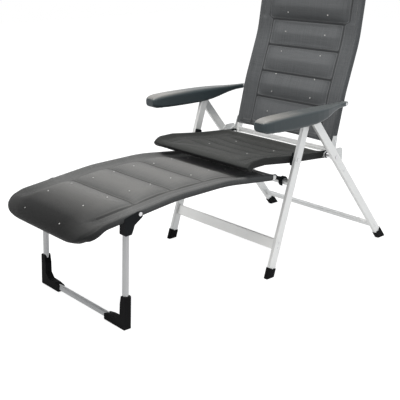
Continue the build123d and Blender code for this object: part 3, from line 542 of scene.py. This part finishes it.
def swell(obj, pins, pressure, cap):
    """Cloth under a little pressure, held at its pinned seams and hems. The result is written to the mesh,
    with no point moved more than the cap."""
    mesh = obj.data
    rest = np.empty(len(mesh.vertices) * 3, dtype=np.float32)
    mesh.vertices.foreach_get("co", rest)
    group = obj.vertex_groups.new(name="pins")
    group.add(np.nonzero(pins)[0].tolist(), 1.0, "REPLACE")
    cloth = obj.modifiers.new("cloth", "CLOTH")
    settings = cloth.settings
    settings.quality = 5
    settings.mass = 0.25
    settings.tension_stiffness = 18
    settings.compression_stiffness = 12
    settings.shear_stiffness = 8
    settings.bending_stiffness = 1.2
    settings.use_pressure = True
    settings.uniform_pressure_force = pressure
    settings.vertex_group_mass = "pins"
    settings.pin_stiffness = 2.0
    settings.effector_weights.gravity = 0
    cloth.collision_settings.use_collision = False
    cloth.point_cache.frame_start = 1
    cloth.point_cache.frame_end = SWELL_FRAMES
    for number in range(1, SWELL_FRAMES + 1):
        SCENE.frame_set(number)
    moved = np.empty_like(rest)
    graph = bpy.context.evaluated_depsgraph_get()
    obj.evaluated_get(graph).data.vertices.foreach_get("co", moved)
    shift = (moved - rest).reshape(-1, 3)
    length = np.linalg.norm(shift, axis=1, keepdims=True)
    shift *= np.minimum(1, cap / np.maximum(length, 1e-9))
    shift[pins] = 0
    obj.modifiers.remove(cloth)
    obj.vertex_groups.remove(group)
    mesh.vertices.foreach_set("co", rest + shift.ravel())
    mesh.update()
    SCENE.frame_set(1)


def make_cover(panel, material, body, nodes, pressure, cap):
    """The padded panel, swelled and rounded, riding on its body in place of its plain solids."""
    obj, pins = padded_panel(panel, material)
    swell(obj, pins, pressure, cap)
    rounding = obj.modifiers.new("round", "SUBSURF")
    rounding.levels = rounding.render_levels = 1
    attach(obj, body)
    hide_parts(*nodes)
    return obj


# Thread tufts
TUFT_RING, TUFT_LEVELS = 12, 4
TUFT_HALF, TUFT_RISE, TUFT_SINK = 0.0028, 0.0014, 0.0004
TUFT_X = (-0.1, 0.1)
TUFT_REACH = 0.009  # how far off a knot's axis the cloth can carry it


def dome_form():
    """A flattened half ball on a flat base, as (points, faces): rings of x = cos p cos t, y = cos p sin t,
    z = sin p, then one point at the top, scaled to the knot's half width and height."""
    turn = np.linspace(0, 2 * math.pi, TUFT_RING, endpoint=False)
    rise = np.linspace(0, math.pi / 2, TUFT_LEVELS, endpoint=False)
    rings = np.stack([
        np.outer(np.cos(rise), np.cos(turn)), np.outer(np.cos(rise), np.sin(turn)),
        np.outer(np.sin(rise), np.ones(TUFT_RING)),
    ], axis=-1).reshape(-1, 3)
    points = np.concatenate([rings, [[0.0, 0.0, 1.0]]]) * np.array([TUFT_HALF, TUFT_HALF, TUFT_RISE])
    step = np.arange(TUFT_RING)
    after = (step + 1) % TUFT_RING
    low = (np.arange(TUFT_LEVELS - 1) * TUFT_RING)[:, None]
    sides = np.stack([low + step, low + after, low + TUFT_RING + after, low + TUFT_RING + step], axis=-1)
    last = (TUFT_LEVELS - 1) * TUFT_RING
    top = np.stack([last + step, last + after, np.full(TUFT_RING, len(rings))], axis=-1)
    return points, sides.reshape(-1, 4).tolist() + top.tolist() + [step[::-1].tolist()]


def nearest_top(obj, point, normal):
    """The point lifted along the normal to the height of the panel's highest point near that axis."""
    co = np.empty(len(obj.data.vertices) * 3, dtype=np.float32)
    obj.data.vertices.foreach_get("co", co)
    away = co.reshape(-1, 3) - point
    height = away @ normal
    off_axis = np.linalg.norm(away - height[:, None] * normal, axis=1)
    return point + normal * float(height[off_axis < TUFT_REACH].max())


def tufts(name, cover, panel, distances, body):
    """Small stitched thread knots in pairs, each a dome set a little into the cloth at its highest there."""
    dome, dome_faces = dome_form()
    verts, faces = [], []
    across = np.array([1.0, 0, 0])
    for distance in distances:
        for x in TUFT_X:
            base = np.array([x, *on_line(panel.line, distance, panel.side, 0.0)[:2]])
            up = np.array([x, *on_line(panel.line, distance, panel.side, 1.0)[:2]]) - base
            axes = np.stack([across, np.cross(up, across), up])
            start = len(dome) * len(verts)
            verts.append(nearest_top(cover, base, up) - up * TUFT_SINK + dome @ axes)
            faces += [[start + corner for corner in face] for face in dome_faces]
    mesh = bpy.data.meshes.new(name)
    mesh.from_pydata(np.concatenate(verts).tolist(), [], faces)
    obj = add_to_scene(mesh, THREAD)
    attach(obj, body)


# Seat cover
# the seat's copy of the grey cloth, painted much darker as the shade that lies over the seat
SEAT_CLOTH_SHADED = fabric_material("grey_cloth_seat_shaded", (0.014, 0.0155, 0.0155), (0.046, 0.047, 0.044))
seat_line = rail_line([(325, 391), (128, 407), (-12, 425), (-78, 424), (-94.8, 407.2)], [0.026] * 3)
seat_end = seat_line[1][-1]
seat_panel = Panel(
    name="seat_cover", line=seat_line, side=1, rail=Rail(x=0.243, half=0.0075, rise=0.012), channel=0.186,
    seams=[distance_at(seat_line, y=v) for v in (0.012, 0.088, 0.160, 0.222)],
    first=distance_at(seat_line, y=0.299), last=seat_end, crown=[0.004] * 5, sag=0.012,
    nose=Nose(half=0.0106, length=0.026, corner=0.001, bar=seat_end - 0.004, taper=0.0, blunt=0.004),
    head=None, tail=0.036)
seat_cover = make_cover(seat_panel, SEAT_CLOTH_SHADED, "seat", ["seat_pad"], pressure=2.0, cap=0.008)

# Back cover
# its smaller crown share gives a weaker painted highlight on the crowns
BACK_CLOTH = fabric_material("grey_cloth", (0.080, 0.085, 0.090), (0.180, 0.185, 0.190), crown_highlight=0.22)
back_line = rail_line([(346, 388), (404, 610), (472, 800), (497, 950), (513.8, 1160)], [0.42] * 3)
back_end = back_line[1][-1]
back_seams = [distance_at(back_line, z=v) for v in (0.548, 0.648, 0.752, 0.852)]
back_panel = Panel(
    name="back_cover", line=back_line, side=-1, rail=Rail(x=0.2435, half=0.0075, rise=0.0125), channel=0.180,
    seams=back_seams, first=distance_at(back_line, z=0.424), last=back_end,
    crown=[0.012] * 4 + [0.018], sag=0.004,
    nose=Nose(half=0.0139, length=0.050, corner=0.001, bar=back_end - 0.010, taper=0.0, blunt=0.0139),
    head=(back_seams[-1], 0.204), tail=None)
back_cover = make_cover(back_panel, BACK_CLOTH, "back", ["back_pad", "headrest_pad"], pressure=2.0, cap=0.004)

# Leg rest cover
rest_line = rail_line(
    [(56, 352), (-180, 380), (-400, 378), (-672, 348.3), (-690, 339.7), (-730, 320.5), (-743, 290)],
    [0.7, 0.7, 0.06, 0.04, 0.016])
# the distances over which painted shade darkens the roll
rest_roll_shade = (distance_at(rest_line, y=-0.56), distance_at(rest_line, y=-0.705))
# the leg rest's copy of the grey cloth, with a darker ground, stronger painted shade where it looks down and
# painted shade over its roll
REST_CLOTH = fabric_material(
    "grey_cloth_rest", (0.053, 0.057, 0.060), (0.176, 0.174, 0.168), under=(0.2, -0.6), roll_shade=rest_roll_shade)
rest_panel = Panel(
    name="leg_rest_cover", line=rest_line, side=1, rail=Rail(x=0.228, half=0.010, rise=0.010), channel=0.176,
    seams=[distance_at(rest_line, y=v) for v in (-0.520, -0.372, -0.235, -0.096)],
    first=distance_at(rest_line, y=0.044), last=rest_line[1][-1] - 0.004,
    crown=[0.010, 0.013, 0.015, 0.018, 0.026], sag=0.003,
    nose=Nose(half=0.0135, length=0.075, corner=0.042, bar=distance_at(rest_line, y=-0.730), taper=0.100,
              blunt=0.0135),
    head=None, tail=None)
rest_cover = make_cover(rest_panel, REST_CLOTH, "leg_rest", ["leg_rest_pad"], pressure=4.0, cap=0.014)

# z of the back's rows of tufts, and y of the other two covers' rows
back_rows = (0.494, 0.571, 0.640, 0.726, 0.803, 0.880, 0.96, 1.04)
seat_rows = (0.19, 0.05)
rest_rows = (-0.06, -0.142, -0.222, -0.311, -0.395, -0.478, -0.564, -0.650, -0.728)
tufts("back_tufts", back_cover, back_panel, [distance_at(back_line, z=v) for v in back_rows], "back")
tufts("seat_tufts", seat_cover, seat_panel, [distance_at(seat_line, y=v) for v in seat_rows], "seat")
tufts("leg_rest_tufts", rest_cover, rest_panel, [distance_at(rest_line, y=v) for v in rest_rows], "leg_rest")


# Floor and studio
FLOOR_HALF, FLOOR_Z = 9, -0.001
FLOOR_GLOW, FLOOR_SHARE = (0.93, 0.93, 0.93), (0.3, 0.3, 0.3)  # together white where no shadow falls
FLOOR_BOUNCE = (0.6, 0.6, 0.595)


def link_by_sight(tree, seen, other, out):
    """Gives the output the seen shader for rays that show the background, which come from the camera, in a
    reflection or through glass, and the other shader for rays that only light the chair."""
    path = tree.nodes.new("ShaderNodeLightPath")
    sight = maths(tree, "MAXIMUM", path.outputs["Is Camera Ray"], path.outputs["Is Glossy Ray"])
    sight = maths(tree, "MAXIMUM", sight, path.outputs["Is Transmission Ray"])
    mixer = tree.nodes.new("ShaderNodeMixShader")
    for index, source in enumerate((sight, other.outputs[0], seen.outputs[0])):
        tree.links.new(source, mixer.inputs[index])
    tree.links.new(mixer.outputs[0], out.inputs[0])


floor_material, tree, out = empty_material("floor_white")
glow = node(tree, "ShaderNodeEmission", {0: (*FLOOR_GLOW, 1.0), 1: 1.0})
white = node(tree, "ShaderNodeBsdfDiffuse", {0: (*FLOOR_SHARE, 1.0)})
shown = tree.nodes.new("ShaderNodeAddShader")
tree.links.new(glow.outputs[0], shown.inputs[0])
tree.links.new(white.outputs[0], shown.inputs[1])
link_by_sight(tree, shown, node(tree, "ShaderNodeBsdfDiffuse", {0: (*FLOOR_BOUNCE, 1.0)}), out)

floor_mesh = bpy.data.meshes.new("floor")
corners = [(x * FLOOR_HALF, y * FLOOR_HALF, FLOOR_Z) for x, y in ((-1, -1), (1, -1), (1, 1), (-1, 1))]
floor_mesh.from_pydata(corners, [], [(0, 1, 2, 3)])
floor_mesh.materials.append(floor_material)
floor = bpy.data.objects.new("floor", floor_mesh)
SCENE.collection.objects.link(floor)

world = bpy.data.worlds.new("studio")
SCENE.world = world
world.use_nodes = True
world.node_tree.nodes.clear()
backdrop = node(world.node_tree, "ShaderNodeBackground", {0: (1, 1, 1, 1), 1: 1.0})
soft_light = node(world.node_tree, "ShaderNodeBackground", {0: (0.93, 0.96, 1.0, 1), 1: 0.38})
link_by_sight(world.node_tree, backdrop, soft_light, world.node_tree.nodes.new("ShaderNodeOutputWorld"))


def area_light(name, place, target, size, power, colour):
    """A rectangular soft lamp at a place, tilted and turned to its target."""
    data = bpy.data.lights.new(name, "AREA")
    data.shape = "RECTANGLE"
    data.size, data.size_y = size
    data.energy = power
    data.color = colour
    lamp = bpy.data.objects.new(name, data)
    lamp.location = place
    x, y, z = np.array(target) - np.array(place)
    lamp.rotation_euler = (math.atan2(math.hypot(x, y), -z), 0, math.atan2(y, x) - math.pi / 2)
    SCENE.collection.objects.link(lamp)


area_light("key", (0.6, -0.7, 3.4), (0, -0.1, 0.4), (1.8, 1.4), 92, (1.0, 0.97, 0.93))
area_light("fill", (3.0, 1.2, 1.8), (0, 0, 0.4), (1.8, 1.8), 22, (0.93, 0.97, 1.0))
area_light("top", (-0.6, 0.2, 3.2), (0, 0, 0.4), (2.4, 2.4), 38, (1.0, 1.0, 1.0))

# Camera
CAMERA_DIP, CAMERA_HEADING = 15.68, 47.23  # degrees below level, and round from looking along y
camera_data = bpy.data.cameras.new("camera")
camera_data.lens = 69.1
camera_data.sensor_width = 36
camera_data.shift_x = -0.02625
camera_data.shift_y = -0.09
camera = bpy.data.objects.new("camera", camera_data)
camera.location = (1.976, -1.866 + SHIFT_Y, 1.126)
camera.rotation_euler = (math.radians(90 - CAMERA_DIP), 0, math.radians(CAMERA_HEADING))
SCENE.collection.objects.link(camera)
SCENE.camera = camera
SCENE.view_settings.view_transform = "Standard"
